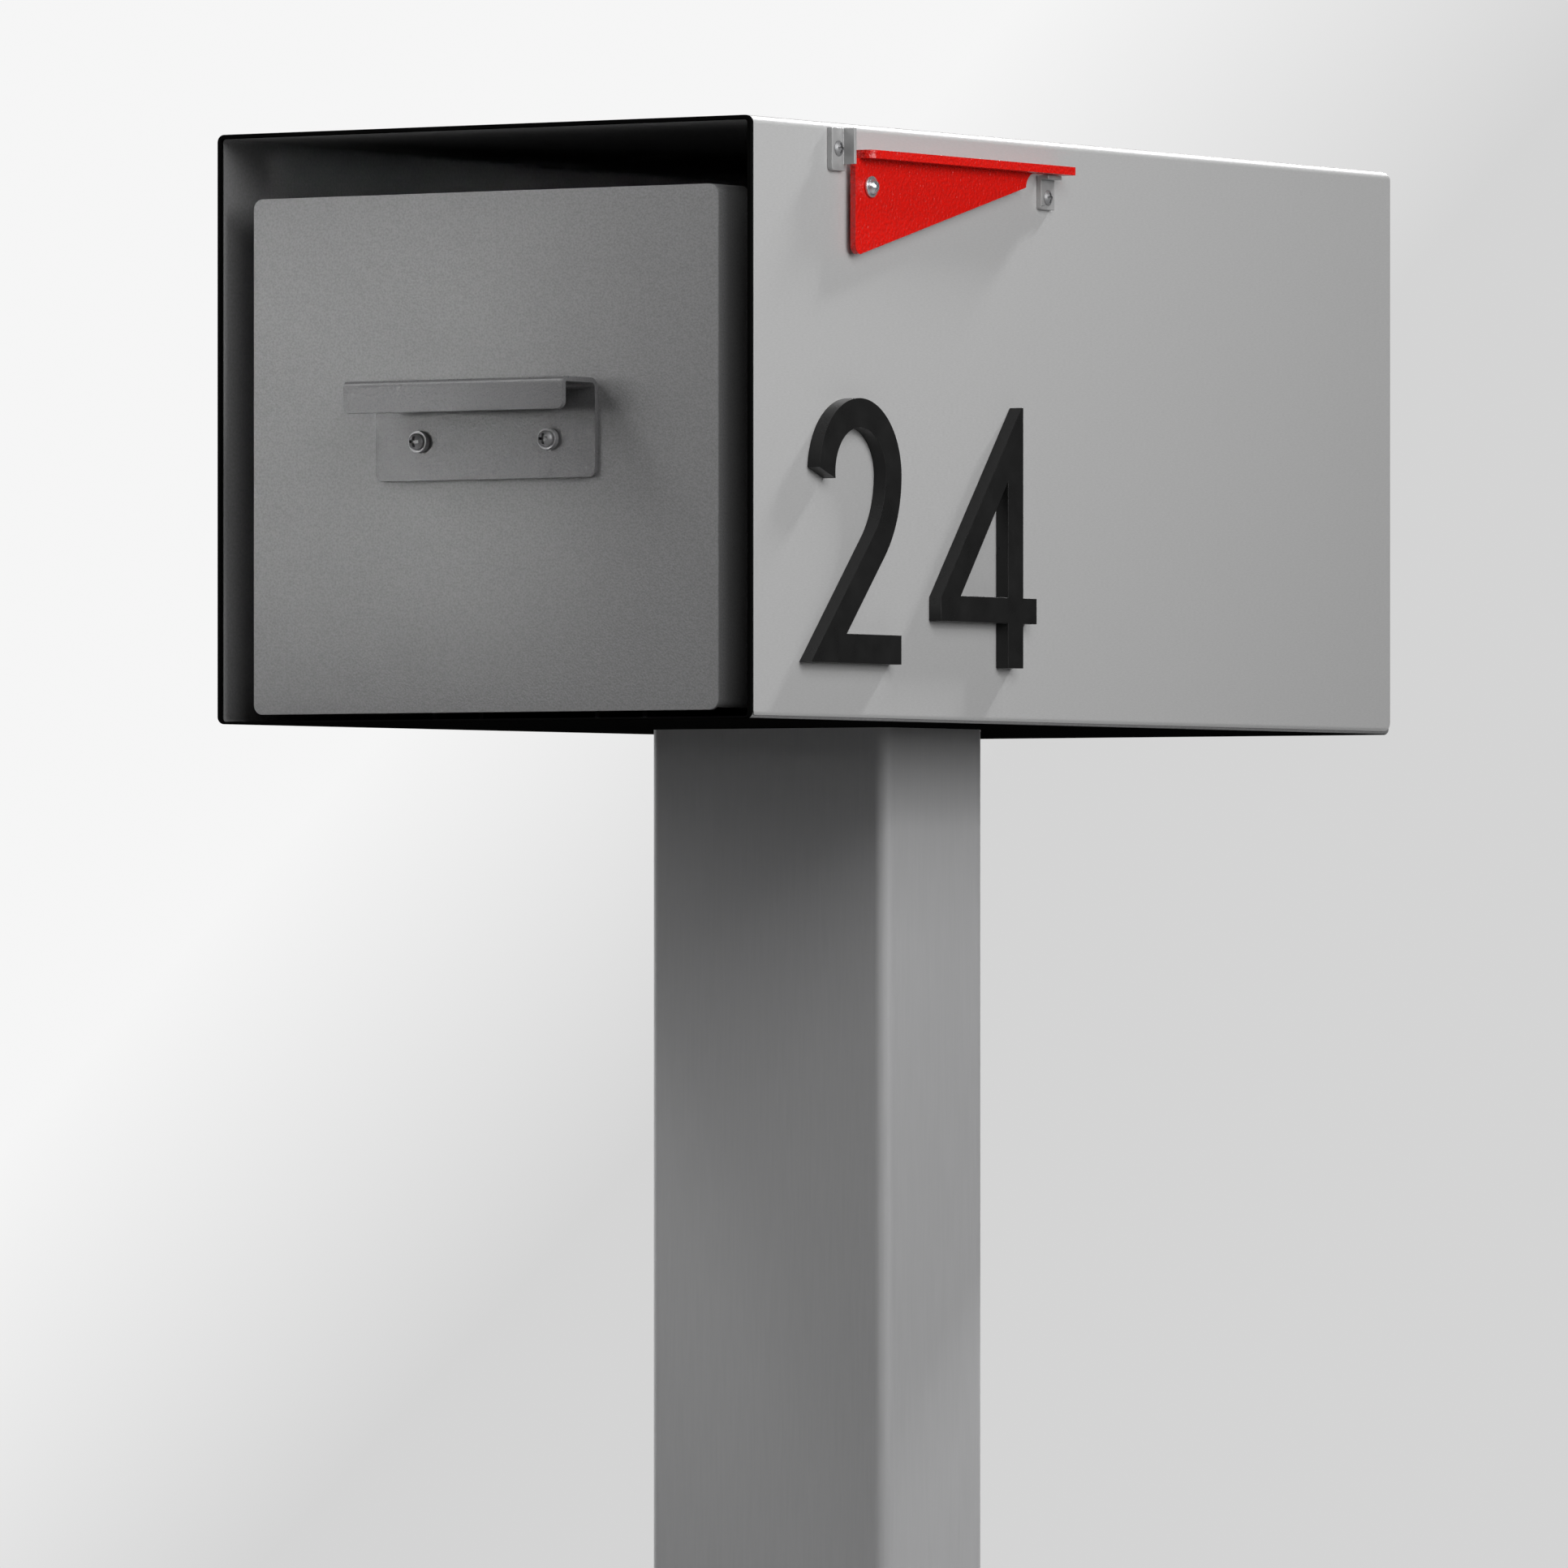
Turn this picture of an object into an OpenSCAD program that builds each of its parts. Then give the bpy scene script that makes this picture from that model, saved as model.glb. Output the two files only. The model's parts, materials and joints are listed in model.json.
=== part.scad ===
// Post-mounted mailbox: a sheet-metal box with a drop-down door, a signal flag and house numbers.
// Frame: origin at the centre of the base plate's underside, +Z up, the door faces -Y.
// Inside box_frame() the numbers are: X from the centre, Y back from the front edge,
// Z up from the underside of the box.

/* [Box] */
// Width of the box over its cover
box_w = 248; // [238:1:270]
// Height of the box
box_h = 229; // [224:1:250]
// Depth of the box, front to back
box_d = 474; // [440:1:520]
// Height of the box's underside above the ground
box_z = 1067; // [900:1:1250]
// Sheet thickness of the brushed cover
cover_t = 0.7; // [0.6:0.1:1]
// Sheet thickness of the black sleeve under the cover
sleeve_t = 1; // [0.8:0.1:1.2]
// Depth of the black edge trim that stands in front of the sleeve
trim_d = 2; // [1.5:0.1:3]

/* [Mail compartment] */
// Outside width of the inner compartment
liner_w = 210; // [200:1:210]
// Sheet thickness of the inner compartment
liner_t = 1.2; // [1:0.1:1.5]
// Back face of the inner compartment, from the front
liner_back = 455; // [380:1:455]

/* [Door] */
// Width of the door
door_w = 216; // [216:0.5:218]
// Height of the door
door_h = 200; // [198:0.5:202]
// Sheet thickness of the door
door_t = 1.5; // [1.2:0.1:1.6]
// Corner radius of the door
door_r = 4; // [3:0.5:6]
// Gap between the box's underside and the door's lower edge
door_gap = 3.5; // [3.5:0.1:4]
// Depth of the door's folded side and top edges
door_return = 22; // [15:1:25]

/* [Handle] */
// Width of the handle
handle_w = 102; // [80:1:130]
// Height of the handle's back plate with its shelf
handle_h = 38; // [34:1:44]
// How far the shelf stands out from the door
handle_out = 24; // [18:1:30]
// Height of the lip that hangs from the shelf
handle_lip = 12.5; // [8:0.5:16]
// Sheet thickness of the handle
handle_t = 2; // [1.5:0.1:2.5]
// Sideways place of the handle's centre
handle_x = 2; // [-10:0.5:10]
// Distance between the handle's two screws
handle_screw_gap = 60; // [40:1:80]

/* [Flag] */
// Distance from the front edge to the flag's pivot
flag_y = 77; // [74:1:90]
// Height of the flag's pivot above the box's underside
flag_z = 204.9; // [200:0.1:206]
// Length of the flag's top flange behind the pivot
flag_reach = 140.5; // [120:0.5:160]
// Thickness of the flag's plate
flag_t = 2.4; // [2:0.1:3]
// Thickness of the flag's top flange
flange_t = 3.2; // [2.5:0.1:3.5]

/* [House numbers] */
// Height of a digit
digit_h = 101.6; // [90:0.1:110]
// Stroke width of a digit
digit_stroke = 11.2; // [10:0.1:12]
// Thickness of a digit
digit_t = 5.6; // [5:0.1:8]
// Height of the digits' lower edge above the box's underside
digit_z = 22; // [15:0.1:30]

/* [Post] */
// Width of the post, side to side
post_w = 112; // [100:1:120]
// Depth of the post, front to back
post_d = 73; // [70:1:100]
// Wall thickness of the post
post_t = 3; // [2:0.5:4]
// Base plate width
base_w = 220; // [200:1:260]
// Base plate depth
base_d = 180; // [170:1:240]
// Base plate thickness
base_t = 8; // [6:1:12]
// Anchor hole spacing, side to side
anchor_x = 170; // [160:1:180]
// Anchor hole spacing, front to back
anchor_y = 130; // [120:1:140]
// Anchor hole radius
anchor_r = 6.5; // [5:0.5:7]

/* [Hidden] */
$fn = 64;
eps = 0.5;                                   // overrun of a cutting shape past a face

// Box and sleeve
bend_r = 3;                                  // outside bend radius of the cover
sleeve_w = box_w - 2 * cover_t;
sleeve_h = box_h - cover_t;
sleeve_r = bend_r - cover_t;
inner_r = sleeve_r - sleeve_t;
inner_w = sleeve_w - 2 * sleeve_t;
inner_top = sleeve_h - sleeve_t;
cover_low = 1.4;                             // lower edge of the cover's sides
cover_corner_r = 4;                          // corners of the cover's sides
side_x = box_w / 2;                          // outer face of the cover's right side

// Inner compartment
liner_front = 9;
liner_low = door_gap + 4.8;
liner_top = door_gap + door_h - 2.7;
liner_h = liner_top - liner_low;
liner_flange = 8;
catch_w = 36;
channel_front_y = 385;
channel_rear_y = 430;
channel_d = 25;
channel_w = inner_w - 2 * inner_r - 1;
bracket = 20;
back_y = box_d - 4;                          // front face of the back panel
back_t = 2;
back_screw_x = inner_w / 2 - 12;
back_screw_z = [16, inner_top - 16];

// Door and hinge
door_y = trim_d;                             // front face of the door
hinge_y = door_y + 4.2;
hinge_z = door_gap + 6;
knuckle_r = 2.4;
pin_r = 1.5;
pin_clear = 0.05;
leaf_t = 1.2;
leaf_w = 200;
leaf_l = 22;
knuckles = 7;
knuckle_l = leaf_w / knuckles;
knuckle_gap = 0.3;
handle_z = door_gap + 89.3;                  // lower edge of the handle's plate
handle_bend = 4.5;                           // outside bend radius between plate and shelf
lip_bend = 2.6;                              // outside bend radius between shelf and lip
plate_corner_r = 3;
lip_corner_r = 3;
handle_screw_z = handle_z + 15;
handle_washer_t = 2.4;
strike_w = 40;
bumper_r = 3.5;

// Flag, measured from the pivot
flag_gap = 2;                                // plate's stand-off from the panel
flange_out = 10;                             // flange's outer edge from the panel
flange_top = 13.8;
flange_front = -7.7;
flag_left = -10.5;
flag_low = -26.1;
flag_tip = [112, 4.7];                       // where the sloping edge meets the hollow curve
flag_corner_r = 3.5;
hollow_w = 6.5;                              // run of the hollow curve up to the flange
hollow_h = flange_top - flange_t - flag_tip[1];
hollow_r = (hollow_w * hollow_w + hollow_h * hollow_h) / (2 * hollow_h);
bush_r = 3;
bush_clear = 0.05;
stop_t = 2.2;
stop_out = 5.5;
upper_stop_out = 7.1;
stop_w = 9.8;
lip_t = 1.6;
lower_stop_y = 126.6;                        // lower stop's front edge, from the pivot
lower_stop_h = 13.3;
flag_rest_gap = 0.3;

// Digits: left edges and outline, each from its own lower left corner
two_y = 34.6;
four_y = 125.6;
bowl_r = 29;
sweep_r = 41.6;
sweep_a = 41.7;
bowl_end_a = [176.5, 187];                  // where the hook of the 2 is cut off, outside and inside
four_foot = 14.4;                           // run of the 4's diagonal along its crossbar
four_peak = 72.4;                           // top of the 4's opening
two_w = 62.6;
four_w = 69.4;
four_bar = 17.4;                             // underside of the crossbar
four_stem_r = 59.6;                          // right side of the stem

// Fasteners
m4 = 2;
m5 = 2.5;
m8 = 4;
bolt_x = 38;
bolt_y = 20;
top_plate_t = 6;
hole_play = 0.3;
stud_spots = [[two_y + 14, digit_z + 5.3], [two_y + 57, digit_z + 72],
              [four_y + 54.3, digit_z + 9], [four_y + 54.3, digit_z + 62]];
stop_spots = [[flag_y - 19, flag_z + 13.9], [flag_y + 131.5, flag_z + 1.7]];

// ---- helpers ----

module box_frame() {
    translate([0, -box_d / 2, box_z]) children();
}

// Rectangle with round corners, centred on X, its lower edge on the axis
module round_rect(w, h, r) {
    translate([-w / 2 + r, 0]) square([w - 2 * r, h]);
    translate([-w / 2, r]) square([w, h - 2 * r]);
    for (x = [-1, 1], y = [r, h - r]) translate([x * (w / 2 - r), y]) circle(r);
}

// A flat XZ outline made solid from front to back
module along_y(y0, y1) {
    translate([0, y1, 0]) rotate([90, 0, 0]) linear_extrude(y1 - y0) children();
}

// A flat YZ outline made solid from x0 to x1
module along_x(x0, x1) {
    translate([x0, 0, 0]) rotate([90, 0, 90]) linear_extrude(x1 - x0) children();
}

// A round bar along X
module bar_x(r, x0, x1, y, z) {
    translate([x0, y, z]) rotate([0, 90, 0]) cylinder(r = r, h = x1 - x0);
}

// A round bar along Y
module bar_y(r, y0, y1, x, z) {
    translate([x, y1, z]) rotate([90, 0, 0]) cylinder(r = r, h = y1 - y0);
}

// What is cut away to round a corner at the origin, with the solid in the first quadrant
module corner_cut(r) {
    difference() {
        translate([-eps, -eps]) square(r + eps);
        translate([r, r]) circle(r);
    }
}

// Quarter of a ring in the first quadrant
module quarter_ring(r, t) {
    intersection() {
        difference() {
            circle(r);
            circle(r - t);
        }
        square(r + eps);
    }
}

// Points along an arc about a centre
function arc_points(c, r, a0, a1, n) =
    [for (i = [0:n]) c + r * [cos(a0 + (a1 - a0) * i / n), sin(a0 + (a1 - a0) * i / n)]];

// Pan-head screw with a cross recess: the seat of its head is at z = 0, the shank goes down
module pan_screw(head_r, head_h, shank_r, length) {
    dome_r = (head_r * head_r + head_h * head_h) / (2 * head_h) * 1.15;
    difference() {
        intersection() {
            cylinder(r = head_r, h = head_h);
            translate([0, 0, head_h - dome_r]) sphere(dome_r);
        }
        for (a = [0, 90]) rotate([0, 0, a])
            translate([-head_r * 0.65, -head_r * 0.18, head_h * 0.2])
                cube([head_r * 1.3, head_r * 0.36, head_h]);
    }
    translate([0, 0, -length]) cylinder(r = shank_r, h = length);
}

module hex_nut(across, bore_r, h) {
    difference() {
        cylinder(r = across / sqrt(3), h = h, $fn = 6);
        translate([0, 0, -eps]) cylinder(r = bore_r, h = h + 2 * eps);
    }
}

module washer(r, bore_r, h) {
    difference() {
        cylinder(r = r, h = h);
        translate([0, 0, -eps]) cylinder(r = bore_r, h = h + 2 * eps);
    }
}

// Holes through the cover and the sleeve for the flag, its stops and the digits
module side_holes() {
    bar_x(m4 + hole_play, side_x - 10, side_x + eps, flag_y, flag_z);
    for (p = stop_spots) bar_x(m4 + hole_play, side_x - 10, side_x + eps, p[0], p[1]);
    for (p = stud_spots) bar_x(m4 + hole_play, side_x - 10, side_x + eps, p[0], p[1]);
}

// One place for each of the four bolts that hold the box on its post
module at_bolts() {
    for (x = [-1, 1], y = [-1, 1]) translate([x * bolt_x, box_d / 2 + y * bolt_y, 0]) children();
}

module bolt_holes(z0, z1) {
    at_bolts() translate([0, 0, z0]) cylinder(r = m8 + hole_play, h = z1 - z0);
}

// ---- post ----

module base_plate() {
    color("#a4a4a8") difference() {
        linear_extrude(base_t) translate([0, -base_d / 2]) round_rect(base_w, base_d, 12);
        for (x = [-1, 1], y = [-1, 1]) translate([x * anchor_x / 2, y * anchor_y / 2, -eps])
            cylinder(r = anchor_r, h = base_t + 2 * eps);
    }
}

module post() {
    color("#a4a4a8") translate([0, 0, base_t]) linear_extrude(box_z - top_plate_t - base_t)
        difference() {
            translate([0, -post_d / 2]) round_rect(post_w, post_d, 5);
            translate([0, -post_d / 2 + post_t])
                round_rect(post_w - 2 * post_t, post_d - 2 * post_t, 5 - post_t);
        }
}

module post_top_plate() {
    color("#a4a4a8") difference() {
        translate([0, 0, box_z - top_plate_t]) linear_extrude(top_plate_t)
            translate([0, -post_d / 2]) round_rect(post_w, post_d, 5);
        box_frame() bolt_holes(-top_plate_t - eps, eps);
    }
}

module mounting_bolts() {
    head_seat = liner_low + liner_t + 1.6;
    color("#b0b0b4") box_frame() at_bolts() {
        translate([0, 0, head_seat]) cylinder(r = 13 / sqrt(3), h = 5.3, $fn = 6);
        translate([0, 0, -top_plate_t - 9]) cylinder(r = m8, h = head_seat + top_plate_t + 9);
    }
}

module mounting_washers() {
    color("#b0b0b4") box_frame() at_bolts() translate([0, 0, liner_low + liner_t])
        washer(8, m8 + hole_play, 1.6);
}

module mounting_nuts() {
    color("#b0b0b4") box_frame() at_bolts() translate([0, 0, -top_plate_t - 6.5])
        hex_nut(13, m8, 6.5);
}

// ---- box ----

module sleeve() {
    color("#1c1c1d") box_frame() difference() {
        along_y(trim_d, box_d) difference() {
            round_rect(sleeve_w, sleeve_h, sleeve_r);
            translate([0, sleeve_t])
                round_rect(inner_w, sleeve_h - 2 * sleeve_t, inner_r);
        }
        side_holes();
        bolt_holes(-eps, sleeve_t + eps);
        translate([0, box_d, sleeve_h]) along_x(-box_w, box_w) rotate(180)
            corner_cut(cover_corner_r);
    }
}

module outer_cover() {
    color("#b4b4b6") box_frame() difference() {
        along_y(trim_d, box_d) difference() {
            round_rect(box_w, box_h, bend_r);
            translate([0, -bend_r]) round_rect(sleeve_w, sleeve_h + bend_r, sleeve_r);
            translate([-box_w, -eps]) square([2 * box_w, cover_low + eps]);
        }
        side_holes();
        translate([0, box_d, box_h]) along_x(-box_w, box_w) rotate(180)
            corner_cut(cover_corner_r);
        translate([0, box_d, cover_low]) along_x(-box_w, box_w) rotate(90)
            corner_cut(cover_corner_r);
        translate([0, trim_d, cover_low]) along_x(-box_w, box_w) corner_cut(2);
    }
}

module front_trim() {
    color("#0c0c0c") box_frame() along_y(0, trim_d) difference() {
        round_rect(box_w, box_h, bend_r);
        translate([0, sleeve_t]) round_rect(inner_w, inner_top - sleeve_t, inner_r);
    }
}

module back_panel() {
    color("#1c1c1d") box_frame() difference() {
        along_y(back_y, back_y + back_t) translate([0, sleeve_t + 0.3])
            round_rect(inner_w - 0.6, inner_top - sleeve_t - 0.6, 2);
        for (x = [-1, 1], z = back_screw_z)
            bar_y(m5 + hole_play, back_y - eps, back_y + back_t + eps, x * back_screw_x, z);
    }
}

module back_brackets() {
    color("#9a9a9e") box_frame() for (s = [-1, 1], z = back_screw_z)
        difference() {
            union() {
                translate([s > 0 ? inner_w / 2 - bracket : -inner_w / 2, back_y - 3, z - bracket / 2])
                    cube([bracket, 3, bracket]);
                translate([s > 0 ? inner_w / 2 - 2 : -inner_w / 2, back_y - bracket, z - bracket / 2])
                    cube([2, bracket, bracket]);
            }
            bar_y(m5, back_y - 3 - eps, back_y + eps, s * back_screw_x, z);
        }
}

module back_screws() {
    color("#8a8a8e") box_frame() for (x = [-1, 1], z = back_screw_z)
        translate([x * back_screw_x, back_y + back_t, z]) rotate([-90, 0, 0])
            pan_screw(4.6, 2.6, m5, 9);
}

// ---- mail compartment ----

module mail_liner() {
    color("#2a2a2b") box_frame() difference() {
        union() {
            along_y(liner_front, liner_back) translate([0, liner_low]) difference() {
                round_rect(liner_w, liner_h, 2);
                translate([0, liner_t])
                    round_rect(liner_w - 2 * liner_t, liner_h - 2 * liner_t, 0.8);
            }
            along_y(liner_back - liner_t, liner_back) translate([0, liner_low])
                round_rect(liner_w, liner_h, 2);
            along_y(liner_front, liner_front + liner_t) translate([0, liner_low]) difference() {
                round_rect(liner_w, liner_h, 2);
                translate([-liner_w / 2 + liner_flange, -eps])
                    square([liner_w - 2 * liner_flange, liner_h - liner_flange + eps]);
                translate([-catch_w / 2 - 1, liner_h - 2 * liner_flange])
                    square([catch_w + 2, 2 * liner_flange - liner_t]);
            }
        }
        bolt_holes(liner_low - eps, liner_low + liner_t + eps);
    }
}

module floor_rails() {
    rail_w = 24;
    rail_h = liner_low - sleeve_t;
    color("#3a3a3c") box_frame() difference() {
        for (x = [-1, 1]) translate([x * bolt_x, 0, 0]) along_y(40, 440) difference() {
            translate([-rail_w / 2, sleeve_t]) square([rail_w, rail_h]);
            translate([-rail_w / 2 + 2, sleeve_t - eps]) square([rail_w - 4, rail_h - 2 + eps]);
        }
        bolt_holes(0, liner_low + eps);
    }
}

// Cross channel that holds the compartment's roof under the top of the sleeve
module top_channel(y) {
    h = inner_top - liner_top;
    t = 1.5;
    color("#5c5c5e") box_frame() translate([-channel_w / 2, y, liner_top]) difference() {
        cube([channel_w, channel_d, h]);
        translate([-eps, t, t]) cube([channel_w + 2 * eps, channel_d, h - 2 * t]);
    }
}

module top_channel_front() {
    top_channel(channel_front_y);
}

module top_channel_rear() {
    top_channel(channel_rear_y);
}

module side_spacers() {
    gap = (inner_w - liner_w) / 2;
    t = 1.5;
    color("#5c5c5e") box_frame() for (s = [-1, 1], y = [255, 415])
        translate([s > 0 ? liner_w / 2 : -inner_w / 2, y, 60]) difference() {
            cube([gap, channel_d, 100]);
            translate([s > 0 ? t : -eps, t, -eps])
                cube([gap - t + eps, channel_d - 2 * t, 100 + 2 * eps]);
        }
}

// ---- door hinge ----

// The knuckles of one leaf: the body has the even ones, the door the odd ones
module knuckle_bars(first, r) {
    for (i = [first:2:knuckles - 1]) {
        x0 = -leaf_w / 2 + i * knuckle_l;
        bar_x(r, x0 + knuckle_gap / 2, x0 + knuckle_l - knuckle_gap / 2, hinge_y, hinge_z);
    }
}

// Room for the other leaf's knuckles
module knuckle_room(first) {
    room = knuckle_r + 0.4;
    for (i = [first:2:knuckles - 1]) {
        x0 = -leaf_w / 2 + i * knuckle_l;
        translate([x0 - knuckle_gap / 2, hinge_y - room, hinge_z - room])
            cube([knuckle_l + knuckle_gap, 2 * room, 2 * room]);
    }
}

module pin_hole() {
    bar_x(pin_r + pin_clear, -leaf_w, leaf_w, hinge_y, hinge_z);
}

module hinge_leaf_body() {
    color("#1c1c1d") box_frame() difference() {
        union() {
            knuckle_bars(0, knuckle_r);
            difference() {
                translate([-leaf_w / 2, hinge_y, liner_low - leaf_t]) cube([leaf_w, leaf_l, leaf_t]);
                knuckle_room(1);
            }
        }
        pin_hole();
    }
}

module hinge_leaf_door() {
    color("#1c1c1d") box_frame() difference() {
        union() {
            knuckle_bars(1, knuckle_r);
            difference() {
                translate([-leaf_w / 2, door_y + door_t, hinge_z]) cube([leaf_w, leaf_t, leaf_l]);
                knuckle_room(0);
            }
        }
        pin_hole();
    }
}

module hinge_pin() {
    end_x = leaf_w / 2 + 0.5;
    color("#1c1c1d") box_frame() {
        bar_x(pin_r, -end_x, end_x, hinge_y, hinge_z);
        for (s = [-1, 1]) bar_x(2.2, s > 0 ? end_x : -end_x - 1, s > 0 ? end_x + 1 : -end_x,
                                hinge_y, hinge_z);
    }
}

// ---- door ----

module door_panel() {
    color("#7b7b7d") box_frame() difference() {
        union() {
            along_y(door_y, door_y + door_t) translate([0, door_gap])
                round_rect(door_w, door_h, door_r);
            along_y(door_y, door_y + door_return) translate([0, door_gap]) difference() {
                round_rect(door_w, door_h, door_r);
                translate([0, door_t]) round_rect(door_w - 2 * door_t, door_h - 2 * door_t,
                                                  door_r - door_t);
                translate([-door_w / 2 + door_t, -eps]) square([door_w - 2 * door_t, door_r + eps]);
            }
        }
        for (s = [-1, 1]) bar_y(m4 + hole_play, door_y - eps, door_y + door_t + eps,
                                handle_x + s * handle_screw_gap / 2, handle_screw_z);
    }
}

// The handle's section: back plate, bend, shelf, bend and hanging lip
module handle_section() {
    top = handle_z + handle_h;
    t = handle_t;
    lip_y = door_y - handle_out;
    translate([door_y - t, handle_z]) square([t, handle_h - handle_bend]);
    translate([door_y - handle_bend, top - handle_bend]) quarter_ring(handle_bend, t);
    translate([lip_y + lip_bend, top - t]) square([handle_out - lip_bend - handle_bend, t]);
    translate([lip_y + lip_bend, top - lip_bend]) mirror([1, 0]) quarter_ring(lip_bend, t);
    translate([lip_y, top - handle_lip]) square([t, handle_lip - lip_bend]);
}

// Rounds the lower corners of the handle's plate or lip
module handle_corners(y0, y1, z, r) {
    for (s = [0, 1]) along_y(y0, y1) translate([handle_x, z]) mirror([s, 0])
        translate([-handle_w / 2, 0]) corner_cut(r);
}

module door_handle() {
    color("#7b7b7d") box_frame() difference() {
        along_x(handle_x - handle_w / 2, handle_x + handle_w / 2) handle_section();
        handle_corners(-handle_t, door_y + eps, handle_z, plate_corner_r);
        handle_corners(door_y - handle_out - eps, door_y - handle_out / 2,
                       handle_z + handle_h - handle_lip, lip_corner_r);
        for (s = [-1, 1]) bar_y(m4 + hole_play, -handle_t, door_y + eps,
                                handle_x + s * handle_screw_gap / 2, handle_screw_z);
    }
}

// One place for each of the handle's two screws, looking out of the door
module at_handle_screws(y) {
    for (s = [-1, 1]) translate([handle_x + s * handle_screw_gap / 2, y, handle_screw_z])
        rotate([90, 0, 0]) children();
}

module handle_washers() {
    color("#7b7b7d") box_frame() at_handle_screws(door_y - handle_t)
        washer(4.25, m4 + hole_play, handle_washer_t);
}

module handle_screws() {
    color("#808082") box_frame() at_handle_screws(door_y - handle_t - handle_washer_t)
        pan_screw(3.2, 2.8, m4, 10.4);
}

module handle_nuts() {
    color("#b8b8bc") box_frame() at_handle_screws(door_y + door_t + 3.2) hex_nut(7, m4, 3.2);
}

module strike_plate() {
    color("#a0a0a4") box_frame() translate([-strike_w / 2, door_y + door_t, liner_top - 22])
        cube([strike_w, 1.5, 18]);
}

module magnet_catch() {
    front = door_y + door_t + 2.8;
    color("#202020") box_frame() difference() {
        translate([-catch_w / 2, front, liner_top - liner_t - 14]) cube([catch_w, 24, 14]);
        translate([-12, front - eps, liner_top - liner_t - 12]) cube([24, 9 + eps, 10]);
    }
}

module catch_magnet() {
    color("#58585a") box_frame() translate([-12, door_y + door_t + 1.8, liner_top - liner_t - 12])
        cube([24, 10, 10]);
}

module door_bumpers() {
    color("#101010") box_frame() for (s = [-1, 1])
        bar_y(bumper_r, door_y + door_t + 0.3, liner_front,
              s * (liner_w / 2 - liner_flange / 2 - 0.6), 165);
}

// ---- flag ----

// The flag's plate, from its pivot: a long triangle that runs into the flange with a hollow curve
module flag_outline() {
    low_left = [flag_left, flag_low];
    under = flange_top - flange_t;
    difference() {
        polygon([[flag_left, under], low_left, [flag_left + flag_corner_r, flag_low],
                 flag_tip, [flag_tip[0] + hollow_w, under]]);
        translate([flag_tip[0] + hollow_w, under - hollow_r]) circle(hollow_r);
        translate(low_left) corner_cut(flag_corner_r);
    }
}

module flag() {
    color("#d01810") box_frame() translate([side_x, flag_y, flag_z]) difference() {
        union() {
            along_x(flag_gap, flag_gap + flag_t) flag_outline();
            translate([0, 0, flange_top - flange_t]) linear_extrude(flange_t) difference() {
                translate([flag_gap, flange_front])
                    square([flange_out - flag_gap, flag_reach - flange_front]);
                translate([flange_out, flange_front]) rotate(90) corner_cut(4);
                translate([flange_out, flag_reach]) rotate(180) corner_cut(1.5);
            }
        }
        bar_x(bush_r + bush_clear, 0, flag_gap + flag_t + eps, 0, 0);
    }
}

module flag_bushing() {
    color("#e4e4e0") box_frame() translate([side_x, flag_y, flag_z]) difference() {
        union() {
            bar_x(6.5, 0, flag_gap - 0.1, 0, 0);
            bar_x(bush_r, 0, flag_gap + flag_t + 0.15, 0, 0);
        }
        bar_x(m4, -eps, flag_gap + flag_t + eps, 0, 0);
    }
}

module flag_washer() {
    color("#c8c8cc") box_frame() translate([side_x + flag_gap + flag_t + 0.15, flag_y, flag_z])
        rotate([0, 90, 0]) washer(4.1, m4, 0.9);
}

module flag_screw() {
    seat = flag_gap + flag_t + 0.15 + 0.9;
    color("#d8d8dc") box_frame() translate([side_x + seat, flag_y, flag_z]) rotate([0, 90, 0])
        rotate([0, 0, 45]) pan_screw(2.9, 2.4, m4, seat + 9);
}

module flag_nut() {
    color("#b0b0b4") box_frame() translate([inner_w / 2 - 3.2, flag_y, flag_z])
        rotate([0, 90, 0]) hex_nut(7, m4, 3.2);
}

module upper_stop() {
    low = flag_z + 5.4;
    lip_low = flag_z + 8;
    top = flag_z + 21.8;
    rear = flag_y - flange_top - 0.1;
    color("#9c9c9e") box_frame() difference() {
        union() {
            translate([side_x, rear - stop_w, low]) cube([stop_t, stop_w, top - low]);
            translate([side_x, rear - lip_t, lip_low]) cube([upper_stop_out, lip_t, top - lip_low]);
        }
        bar_x(m4 + hole_play, side_x - eps, side_x + stop_t + eps, stop_spots[0][0], stop_spots[0][1]);
        translate([0, rear - stop_w, low]) along_x(side_x - eps, side_x + upper_stop_out)
            corner_cut(1.5);
    }
}

module lower_stop() {
    top = flag_z + flange_top - flange_t - flag_rest_gap;
    front = flag_y + lower_stop_y;
    color("#9c9c9e") box_frame() difference() {
        union() {
            translate([side_x, front, top - lower_stop_h]) cube([stop_t, stop_w, lower_stop_h]);
            translate([side_x, front, top - lip_t]) cube([stop_out, stop_w, lip_t]);
        }
        bar_x(m4 + hole_play, side_x - eps, side_x + stop_t + eps, stop_spots[1][0], stop_spots[1][1]);
        translate([0, front, top - lower_stop_h]) along_x(side_x - eps, side_x + stop_out)
            corner_cut(1);
    }
}

module stop_screws() {
    color("#8a8a8c") box_frame() for (p = stop_spots)
        translate([side_x + stop_t, p[0], p[1]]) rotate([0, 90, 0])
            pan_screw(3, 1.5, m4, stop_t + 8);
}

module stop_nuts() {
    color("#b0b0b4") box_frame() for (p = stop_spots)
        translate([inner_w / 2 - 3.2, p[0], p[1]]) rotate([0, 90, 0]) hex_nut(7, m4, 3.2);
}

// ---- house numbers ----

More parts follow.
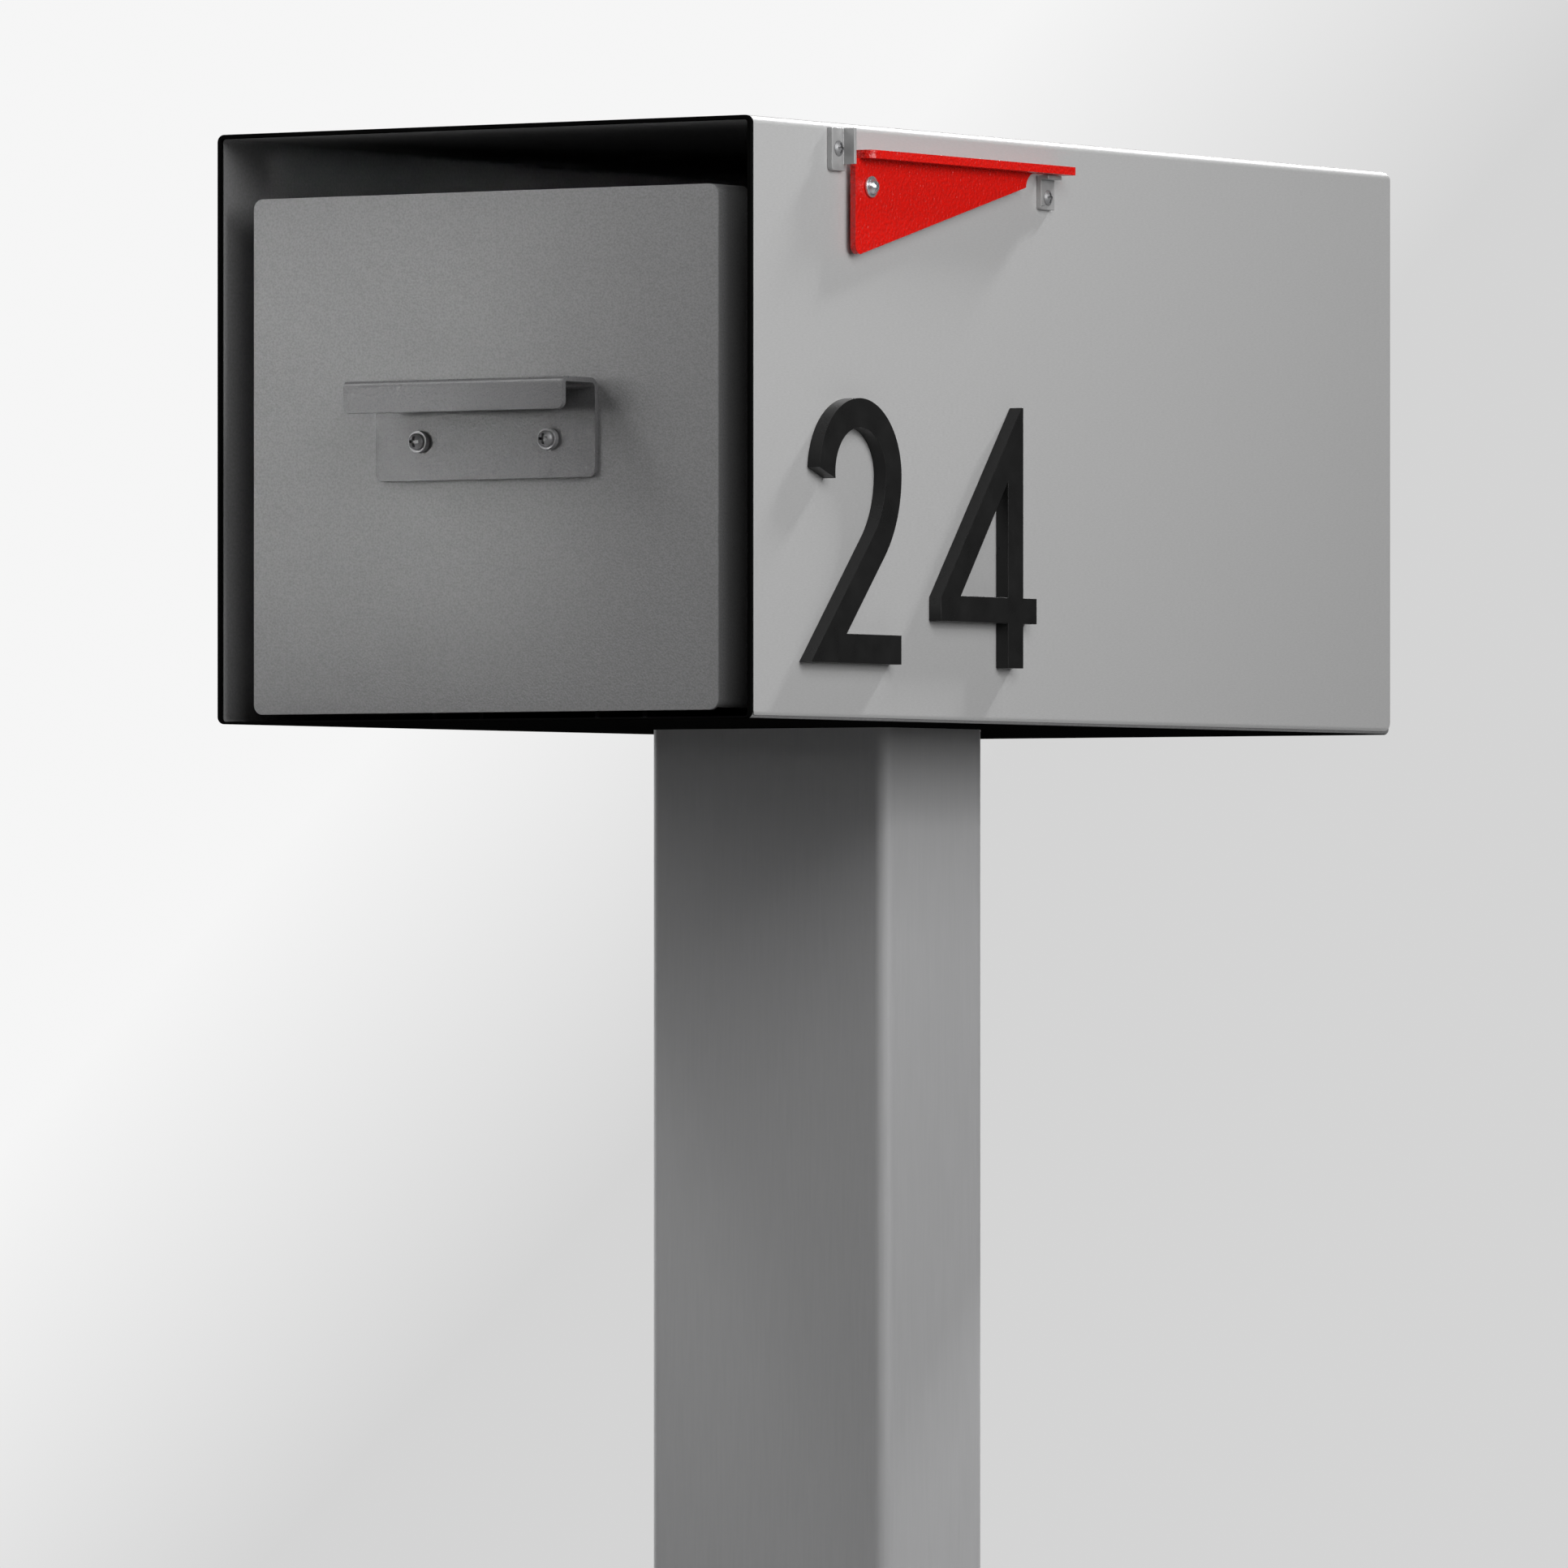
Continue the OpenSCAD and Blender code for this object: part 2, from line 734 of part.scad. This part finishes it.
module two_outline() {
    half = digit_stroke / 2;
    mid_r = bowl_r - half;
    bowl = [bowl_r + 4.7, digit_h - bowl_r];
    sweep = bowl + [mid_r - sweep_r, 0];
    out = [cos(sweep_a), -sin(sweep_a)];
    down = [-sin(sweep_a), -cos(sweep_a)];
    right = sweep + (sweep_r + half) * out;
    left = sweep + (sweep_r - half) * out;
    right_end = right + down * (right[1] - digit_stroke) / cos(sweep_a);
    left_end = left + down * left[1] / cos(sweep_a);
    polygon(concat(arc_points(bowl, mid_r + half, bowl_end_a[0], 4, 48),
                   arc_points(sweep, sweep_r + half, 0, -sweep_a, 16),
                   [right_end, [two_w, digit_stroke], [two_w, 0], left_end],
                   arc_points(sweep, sweep_r - half, -sweep_a, 0, 16),
                   arc_points(bowl, mid_r - half, 4, bowl_end_a[1], 48)));
}

module four_outline() {
    bar = [four_bar, four_bar + 10];
    stem_l = four_stem_r - digit_stroke;
    difference() {
        polygon([[0, bar[0]], [0, bar[1] - 0.8], [four_stem_r - 1.2, digit_h], [four_stem_r, digit_h],
                 [four_stem_r, bar[1]], [four_w, bar[1]], [four_w, bar[0]], [four_stem_r, bar[0]],
                 [four_stem_r, 0], [stem_l, 0], [stem_l, bar[0]]]);
        polygon([[stem_l, bar[1]], [stem_l, four_peak], [four_foot, bar[1]]]);
    }
}

module digit(y, spots) {
    color("#1e1e1f") box_frame() difference() {
        translate([0, y, digit_z]) along_x(side_x, side_x + digit_t) children();
        for (p = spots) bar_x(m4, side_x - eps, side_x + 4, p[0], p[1]);
    }
}

module digit_two() {
    digit(two_y, [stud_spots[0], stud_spots[1]]) two_outline();
}

module digit_four() {
    digit(four_y, [stud_spots[2], stud_spots[3]]) four_outline();
}

module digit_studs() {
    color("#b0b0b4") box_frame() for (p = stud_spots)
        bar_x(m4, inner_w / 2 - 6, side_x + 4, p[0], p[1]);
}

module digit_nuts() {
    color("#b0b0b4") box_frame() for (p = stud_spots)
        translate([inner_w / 2 - 3.2, p[0], p[1]]) rotate([0, 90, 0]) hex_nut(7, m4, 3.2);
}

base_plate();
post();
post_top_plate();
mounting_bolts();
mounting_washers();
mounting_nuts();
sleeve();
outer_cover();
front_trim();
back_panel();
back_brackets();
back_screws();
mail_liner();
floor_rails();
top_channel_front();
top_channel_rear();
side_spacers();
hinge_leaf_body();
hinge_pin();
hinge_leaf_door();
door_panel();
door_handle();
handle_screws();
handle_washers();
handle_nuts();
strike_plate();
magnet_catch();
catch_magnet();
door_bumpers();
flag();
flag_bushing();
flag_washer();
flag_screw();
flag_nut();
upper_stop();
lower_stop();
stop_screws();
stop_nuts();
digit_two();
digit_four();
digit_studs();
digit_nuts();
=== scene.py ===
import bpy
import bmesh
import json
import math
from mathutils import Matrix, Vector


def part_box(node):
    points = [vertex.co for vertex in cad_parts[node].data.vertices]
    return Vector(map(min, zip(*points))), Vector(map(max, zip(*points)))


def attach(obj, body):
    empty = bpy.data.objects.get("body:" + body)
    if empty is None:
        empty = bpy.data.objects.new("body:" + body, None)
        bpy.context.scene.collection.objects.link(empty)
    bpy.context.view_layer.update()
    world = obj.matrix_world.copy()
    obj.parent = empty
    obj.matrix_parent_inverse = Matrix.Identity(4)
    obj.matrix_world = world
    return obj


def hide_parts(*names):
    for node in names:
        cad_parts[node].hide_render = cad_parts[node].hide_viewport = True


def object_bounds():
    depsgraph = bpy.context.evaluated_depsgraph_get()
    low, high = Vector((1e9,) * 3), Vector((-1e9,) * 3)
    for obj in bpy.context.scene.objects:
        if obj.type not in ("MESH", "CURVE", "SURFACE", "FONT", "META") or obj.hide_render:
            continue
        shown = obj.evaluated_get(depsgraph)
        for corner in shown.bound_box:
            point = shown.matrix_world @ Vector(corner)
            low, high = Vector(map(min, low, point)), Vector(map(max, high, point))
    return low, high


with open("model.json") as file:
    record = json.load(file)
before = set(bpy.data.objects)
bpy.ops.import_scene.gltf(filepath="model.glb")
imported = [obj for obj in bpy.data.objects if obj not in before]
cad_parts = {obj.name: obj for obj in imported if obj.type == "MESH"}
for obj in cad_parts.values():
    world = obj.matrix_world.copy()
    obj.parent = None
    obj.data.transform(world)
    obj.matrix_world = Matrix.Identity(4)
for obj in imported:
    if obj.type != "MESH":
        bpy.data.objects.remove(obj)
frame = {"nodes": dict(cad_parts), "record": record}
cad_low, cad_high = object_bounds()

MM = 0.001
BEVEL_SEGMENTS = 3
BRUSH_RELIEF = 0.00002
SATIN_RELIEF = 0.00001
SLEEVE_RELIEF = 0.0001
SHARP_EDGE = math.radians(38)
FLAT_SEAM = math.radians(0.5)
FLOOR_RADIUS = 8.0
FLOOR_GLOW = (0.35, 0.35, 0.35)
BACKDROP_SLANT = -0.75
BACKDROP_START = -0.582
BACKDROP_STOP = -0.545
CAMERA_OFFSET = Vector((2.977, -4.534, -0.0916))
CAMERA_YAW = math.radians(33.155)
CAMERA_LENS = 328.5
CAMERA_SHIFT_Y = 0.1123
BACKDROP_LEFT = (0.92, 0.92, 0.92)
BACKDROP_RIGHT = (0.66, 0.66, 0.66)
AMBIENT = (0.01, 0.01, 0.01)
nodes = frame["nodes"]
record = frame["record"]
body_of_node = {n: b for b, names in record["behaviour"]["bodies"].items() for n in names}
slot_of_node = {part["node"]: part["material_slot"] for part in record["subparts"]}

cover_low, cover_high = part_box("outer_cover")
trim_low, trim_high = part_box("front_trim")


# ---- shader helpers ----

def new_material(name, colour, metallic, roughness):
    """A node material with its Principled shader, which every finish below starts from."""
    material = bpy.data.materials.new(name)
    material.use_nodes = True
    tree = material.node_tree
    shader = tree.nodes["Principled BSDF"]
    shader.inputs["Base Color"].default_value = (*colour, 1)
    shader.inputs["Metallic"].default_value = metallic
    shader.inputs["Roughness"].default_value = roughness
    return material, tree, shader


def noise(tree, scale, detail=2.0, roughness=0.5):
    """Noise in the object's own coordinates. scale is waves per metre along X, Y and Z."""
    place = tree.nodes.new("ShaderNodeTexCoord")
    mapping = tree.nodes.new("ShaderNodeMapping")
    mapping.inputs["Scale"].default_value = scale
    texture = tree.nodes.new("ShaderNodeTexNoise")
    texture.inputs["Scale"].default_value = 1.0
    texture.inputs["Detail"].default_value = detail
    texture.inputs["Roughness"].default_value = roughness
    tree.links.new(place.outputs["Object"], mapping.inputs["Vector"])
    tree.links.new(mapping.outputs["Vector"], texture.inputs["Vector"])
    return texture.outputs["Fac"]


def to_range(tree, value, low, high, start=0.3, stop=0.7):
    """A value between start and stop becomes one between low and high."""
    node = tree.nodes.new("ShaderNodeMapRange")
    node.inputs["From Min"].default_value = start
    node.inputs["From Max"].default_value = stop
    node.inputs["To Min"].default_value = low
    node.inputs["To Max"].default_value = high
    tree.links.new(value, node.inputs["Value"])
    return node.outputs["Result"]


def two_tone(tree, shader, value, dark, light):
    """Base colour that varies between two tones with a value from 0 to 1."""
    mix = tree.nodes.new("ShaderNodeMix")
    mix.data_type = "RGBA"
    mix.inputs["A"].default_value = (*dark, 1)
    mix.inputs["B"].default_value = (*light, 1)
    tree.links.new(value, mix.inputs["Factor"])
    tree.links.new(mix.outputs["Result"], shader.inputs["Base Color"])


def bump(tree, shader, value, depth, strength=1.0):
    """Relief of that depth in metres."""
    node = tree.nodes.new("ShaderNodeBump")
    node.inputs["Strength"].default_value = strength
    node.inputs["Distance"].default_value = depth
    tree.links.new(value, node.inputs["Height"])
    tree.links.new(node.outputs["Normal"], shader.inputs["Normal"])


def scaled(colour, factor):
    return tuple(c * factor for c in colour)


# ---- finishes ----

def brushed_finish(name, colour, roughness, scale, metallic, contrast):
    """Brushed metal: fine streaks in tone, gloss and relief. contrast is how far the tone strays."""
    material, tree, shader = new_material(name, colour, metallic, roughness)
    streaks = noise(tree, scale, detail=3.0, roughness=0.6)
    two_tone(tree, shader, to_range(tree, streaks, 0, 1),
             scaled(colour, 1 - contrast), scaled(colour, 1 + contrast))
    tree.links.new(to_range(tree, streaks, roughness - 0.05, roughness + 0.06),
                   shader.inputs["Roughness"])
    bump(tree, shader, streaks, BRUSH_RELIEF, 0.5)
    return material


def powder_finish(name, colour, roughness, grain, depth, specular=0.5):
    """Powder coat: an orange-peel relief whose pits are grain metres apart."""
    material, tree, shader = new_material(name, colour, 0.0, roughness)
    shader.inputs["Specular IOR Level"].default_value = specular
    wave = 1 / grain
    peel = noise(tree, (wave, wave, wave), detail=2.0, roughness=0.45)
    two_tone(tree, shader, to_range(tree, peel, 0, 1), scaled(colour, 0.86), scaled(colour, 1.1))
    tree.links.new(to_range(tree, peel, roughness + 0.06, roughness - 0.04),
                   shader.inputs["Roughness"])
    bump(tree, shader, peel, depth)
    return material


def satin_finish(name, colour, roughness, metallic=0.0, wave=90.0, specular=0.5):
    """Smooth satin surface with slight handling marks in its gloss."""
    material, tree, shader = new_material(name, colour, metallic, roughness)
    shader.inputs["Specular IOR Level"].default_value = specular
    marks = noise(tree, (wave, wave, wave), detail=5.0, roughness=0.6)
    tree.links.new(to_range(tree, marks, roughness - 0.05, roughness + 0.08),
                   shader.inputs["Roughness"])
    two_tone(tree, shader, to_range(tree, marks, 0, 1), scaled(colour, 0.92), scaled(colour, 1.06))
    fine = noise(tree, (2500, 2500, 2500), detail=1.0)
    bump(tree, shader, fine, SATIN_RELIEF, 0.4)
    return material


def sleeve_finish(name, inside, painted_shade_underside):
    """Dark powder coat. Below the box's bottom edge the colour turns near black: painted shade for
    the underside, which faces down and gets no light.
    """
    material, tree, shader = new_material(name, inside, 0.0, 0.7)
    shader.inputs["Specular IOR Level"].default_value = 0.0
    peel = noise(tree, (900, 900, 900), detail=2.0, roughness=0.45)
    two_tone(tree, shader, to_range(tree, peel, 0, 1), scaled(inside, 0.9), scaled(inside, 1.08))
    bump(tree, shader, peel, SLEEVE_RELIEF)
    place = tree.nodes.new("ShaderNodeTexCoord")
    split = tree.nodes.new("ShaderNodeSeparateXYZ")
    tree.links.new(place.outputs["Object"], split.inputs["Vector"])
    # The near-black underside is painted shade, not a second coat of paint.
    bottom = trim_low.z + 0.3 * MM
    above_painted_shade = to_range(tree, split.outputs["Z"], 0, 1, bottom, bottom + 0.1 * MM)
    painted_shade_mix = tree.nodes.new("ShaderNodeMix")
    painted_shade_mix.data_type = "RGBA"
    painted_shade_mix.inputs["A"].default_value = (*painted_shade_underside, 1)
    tree.links.new(shader.inputs["Base Color"].links[0].from_socket, painted_shade_mix.inputs["B"])
    tree.links.new(above_painted_shade, painted_shade_mix.inputs["Factor"])
    tree.links.new(painted_shade_mix.outputs["Result"], shader.inputs["Base Color"])
    return material


finishes = {
    "brushed_cover": brushed_finish("cover_brushed_steel", (0.47, 0.47, 0.47), 0.45,
                                    (500, 500, 2200), 0.3, 0.05),
    "post_paint": brushed_finish("post_grey_paint", (0.40, 0.40, 0.405), 0.6,
                                 (900, 900, 40), 0.0, 0.03),
    # The second colour is painted shade for the underside of the box.
    "black_paint": sleeve_finish("sleeve_dark_powder_coat_shaded_underside", (0.24, 0.24, 0.242),
                                 (0.004, 0.004, 0.004)),
    "black_coat": powder_finish("hidden_black_powder_coat", (0.04, 0.04, 0.042), 0.5,
                                0.0008, 0.0001),
    "trim_rubber": satin_finish("trim_matt_black", (0.003, 0.003, 0.003), 0.8, specular=0.0),
    "grey_powder": powder_finish("door_grey_powder_coat", (0.225, 0.225, 0.227), 0.48,
                                 0.0008, 0.00011),
    "handle_powder": powder_finish("handle_grey_powder_coat", (0.107, 0.107, 0.109), 0.3,
                                   0.0009, 0.00018, 0.4),
    "red_powder": powder_finish("flag_red_powder_coat", (0.58, 0.007, 0.004), 0.28,
                                0.0013, 0.0005),
    "black_digit": satin_finish("digit_satin_black", (0.011, 0.011, 0.011), 0.3, specular=0.25),
    "stop_zinc": satin_finish("stop_satin_aluminium", (0.42, 0.42, 0.42), 0.42, 0.5, 200.0),
    "dull_fasteners": satin_finish("screw_dull_grey", (0.24, 0.24, 0.245), 0.42, 0.4, 400.0),
    "chrome_fasteners": satin_finish("flag_screw_chrome", (0.7, 0.7, 0.72), 0.24, 0.8, 300.0),
    "zinc": satin_finish("zinc_plate", (0.38, 0.38, 0.39), 0.45, 0.8, 150.0),
    "nylon": satin_finish("bush_nylon", (0.7, 0.7, 0.66), 0.5),
    "black_plastic": satin_finish("catch_black_plastic", (0.02, 0.02, 0.02), 0.5),
    "magnet_iron": satin_finish("magnet_sintered", (0.1, 0.1, 0.1), 0.5, 0.5),
}


# ---- pieces ----

def soft_edges(name, width):
    """The CAD node's own shape with its sharp edges rounded, which replaces that node."""
    mesh = nodes[name].data.copy()
    mesh.materials.clear()
    mesh.materials.append(finishes[slot_of_node[name]])
    work = bmesh.new()
    work.from_mesh(mesh)
    bmesh.ops.remove_doubles(work, verts=work.verts, dist=1e-6)
    bmesh.ops.dissolve_limit(work, angle_limit=FLAT_SEAM, verts=work.verts, edges=work.edges)
    for face in work.faces:
        face.smooth = True
    work.to_mesh(mesh)
    work.free()
    piece = bpy.data.objects.new(name + "_finished", mesh)
    bpy.context.scene.collection.objects.link(piece)
    edge = piece.modifiers.new("edges", "BEVEL")
    edge.width = width
    edge.segments = BEVEL_SEGMENTS
    edge.limit_method = "ANGLE"
    edge.angle_limit = SHARP_EDGE
    edge.use_clamp_overlap = True
    normals = piece.modifiers.new("normals", "WEIGHTED_NORMAL")
    normals.keep_sharp = True
    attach(piece, body_of_node[name])
    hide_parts(name)


edge_width = {
    "door_panel": 0.6 * MM,
    "door_handle": 0.55 * MM,
    "flag": 0.55 * MM,
    "front_trim": 0.4 * MM,
    "upper_stop": 0.35 * MM,
    "lower_stop": 0.3 * MM,
    "digit_two": 0.7 * MM,
    "digit_four": 0.7 * MM,
    "base_plate": 1.0 * MM,
    "handle_washers": 0.2 * MM,
    "flag_washer": 0.2 * MM,
}
for name, width in edge_width.items():
    soft_edges(name, width)

for name, node in nodes.items():
    if name not in edge_width:
        for slot in node.material_slots:
            slot.material = finishes[slot_of_node[name]]


# ---- floor, world, lights and camera ----

def make_floor():
    """A pale floor. Its glow is seen by the camera only, so it stays pale far from the lights."""
    mesh = bpy.data.meshes.new("floor")
    work = bmesh.new()
    bmesh.ops.create_circle(work, cap_ends=True, segments=96, radius=FLOOR_RADIUS)
    work.to_mesh(mesh)
    work.free()
    floor = bpy.data.objects.new("floor", mesh)
    floor.location.z = cad_low.z
    bpy.context.scene.collection.objects.link(floor)
    material, tree, shader = new_material("floor_pale", (0.62, 0.62, 0.62), 0.0, 0.9)
    two_tone(tree, shader, to_range(tree, noise(tree, (3, 3, 3)), 0, 1),
             (0.61, 0.61, 0.61), (0.63, 0.63, 0.63))
    glow = tree.nodes.new("ShaderNodeLightPath")
    shader.inputs["Emission Color"].default_value = (*FLOOR_GLOW, 1)
    tree.links.new(glow.outputs["Is Camera Ray"], shader.inputs["Emission Strength"])
    mesh.materials.append(material)


def make_world():
    """A pale surround that only the camera sees, darker below and towards +X, and a weak ambient."""
    world = bpy.data.worlds.new("studio")
    world.use_nodes = True
    tree = world.node_tree
    back = tree.nodes["Background"]
    place = tree.nodes.new("ShaderNodeTexCoord")
    split = tree.nodes.new("ShaderNodeSeparateXYZ")
    tree.links.new(place.outputs["Generated"], split.inputs["Vector"])
    slant = tree.nodes.new("ShaderNodeMath")
    slant.operation = "MULTIPLY_ADD"
    tree.links.new(split.outputs["Z"], slant.inputs[0])
    slant.inputs[1].default_value = BACKDROP_SLANT
    tree.links.new(split.outputs["X"], slant.inputs[2])
    side = tree.nodes.new("ShaderNodeMix")
    side.data_type = "RGBA"
    side.inputs["A"].default_value = (*BACKDROP_LEFT, 1)
    side.inputs["B"].default_value = (*BACKDROP_RIGHT, 1)
    blend = to_range(tree, slant.outputs["Value"], 0, 1, BACKDROP_START, BACKDROP_STOP)
    tree.links.new(blend, side.inputs["Factor"])
    tree.links.new(side.outputs["Result"], back.inputs["Color"])

    ambient = tree.nodes.new("ShaderNodeBackground")
    ambient.inputs["Color"].default_value = (*AMBIENT, 1)
    path = tree.nodes.new("ShaderNodeLightPath")
    seen = tree.nodes.new("ShaderNodeMixShader")
    tree.links.new(path.outputs["Is Camera Ray"], seen.inputs[0])
    tree.links.new(ambient.outputs["Background"], seen.inputs[1])
    tree.links.new(back.outputs["Background"], seen.inputs[2])
    tree.links.new(seen.outputs["Shader"], tree.nodes["World Output"].inputs["Surface"])
    bpy.context.scene.world = world


def aim(thing, target):
    thing.rotation_euler = (Vector(target) - thing.location).to_track_quat("-Z", "Y").to_euler()


def area_light(name, place, target, size, power, spread):
    data = bpy.data.lights.new(name, "AREA")
    data.shape = "RECTANGLE"
    data.size, data.size_y = size
    data.energy = power
    data.spread = math.radians(spread)
    light = bpy.data.objects.new(name, data)
    light.location = place
    light.visible_camera = False
    aim(light, target)
    bpy.context.scene.collection.objects.link(light)


box_centre = (cover_low + cover_high) / 2
near_corner = Vector((trim_high.x, trim_low.y, trim_low.z))

make_floor()
make_world()
door_centre = Vector((0, trim_low.y, box_centre.z))
slot_light_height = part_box("door_panel")[1].z + 0.011
slot_light_y = near_corner.y + 0.21

# Each light: place, target, size, power and spread in degrees. The key stands behind, above and a
# little to the flag's side, so the flag shades the side panel below and ahead of it. front_right,
# front_left, front_top and door_low light the door; right and right_near light the side panel.
# left_fill and back_fill light the sides that the camera doesn't see, and slot_fill lights the
# inside wall above the compartment.
lights = {
    "key": (box_centre + Vector((0.62, 2.5, 2.5)), box_centre, (0.4, 0.4), 2.9, 24),
    "front_right": (near_corner + Vector((1.2, -1.0, 1.0)), near_corner, (0.8, 0.8), 6.1, 180),
    "front_left": (door_centre + Vector((-0.55, -0.6, 0.25)), door_centre + Vector((-0.1, 0, -0.03)),
                   (0.7, 0.7), 3.2, 180),
    "front_top": (door_centre + Vector((-0.58, -0.46, 0.78)), door_centre, (0.3, 0.25), 3.4, 180),
    "door_low": (door_centre + Vector((-0.5, -0.7, 0)), door_centre + Vector((-0.07, 0, 0)),
                 (0.18, 0.18), 0.019, 8),
    "right": (box_centre + Vector((2.2, -0.1, 0.5)), box_centre, (1.2, 1.2), 28.7, 180),
    "right_near": (box_centre + Vector((0.6, -0.32, 0.3)),
                   Vector((near_corner.x, box_centre.y - 0.15, box_centre.z)),
                   (0.35, 0.35), 1.3, 180),
    "left_fill": (box_centre + Vector((-2.4, 0.5, -0.1)), box_centre, (1.2, 1.2), 6.5, 100),
    "back_fill": (box_centre + Vector((-0.9, 2.5, 0)), box_centre, (1.2, 1.0), 7, 100),
    "slot_fill": (Vector((near_corner.x - 0.006, slot_light_y, slot_light_height)),
                  Vector((-near_corner.x, slot_light_y, slot_light_height)),
                  (0.36, 0.018), 0.0018, 4),
}
for light_name, (place, target, size, power, spread) in lights.items():
    area_light(light_name, place, target, size, power, spread)


def make_camera():
    camera_data = bpy.data.cameras.new("camera")
    camera_data.sensor_width = 36.0
    camera_data.lens = CAMERA_LENS
    camera_data.shift_y = CAMERA_SHIFT_Y
    camera_data.clip_end = 100.0
    camera = bpy.data.objects.new("camera", camera_data)
    camera.location = near_corner + CAMERA_OFFSET
    camera.rotation_euler = (math.radians(90), 0, CAMERA_YAW)
    bpy.context.scene.collection.objects.link(camera)
    bpy.context.scene.camera = camera


make_camera()
bpy.context.scene.view_settings.view_transform = "Standard"
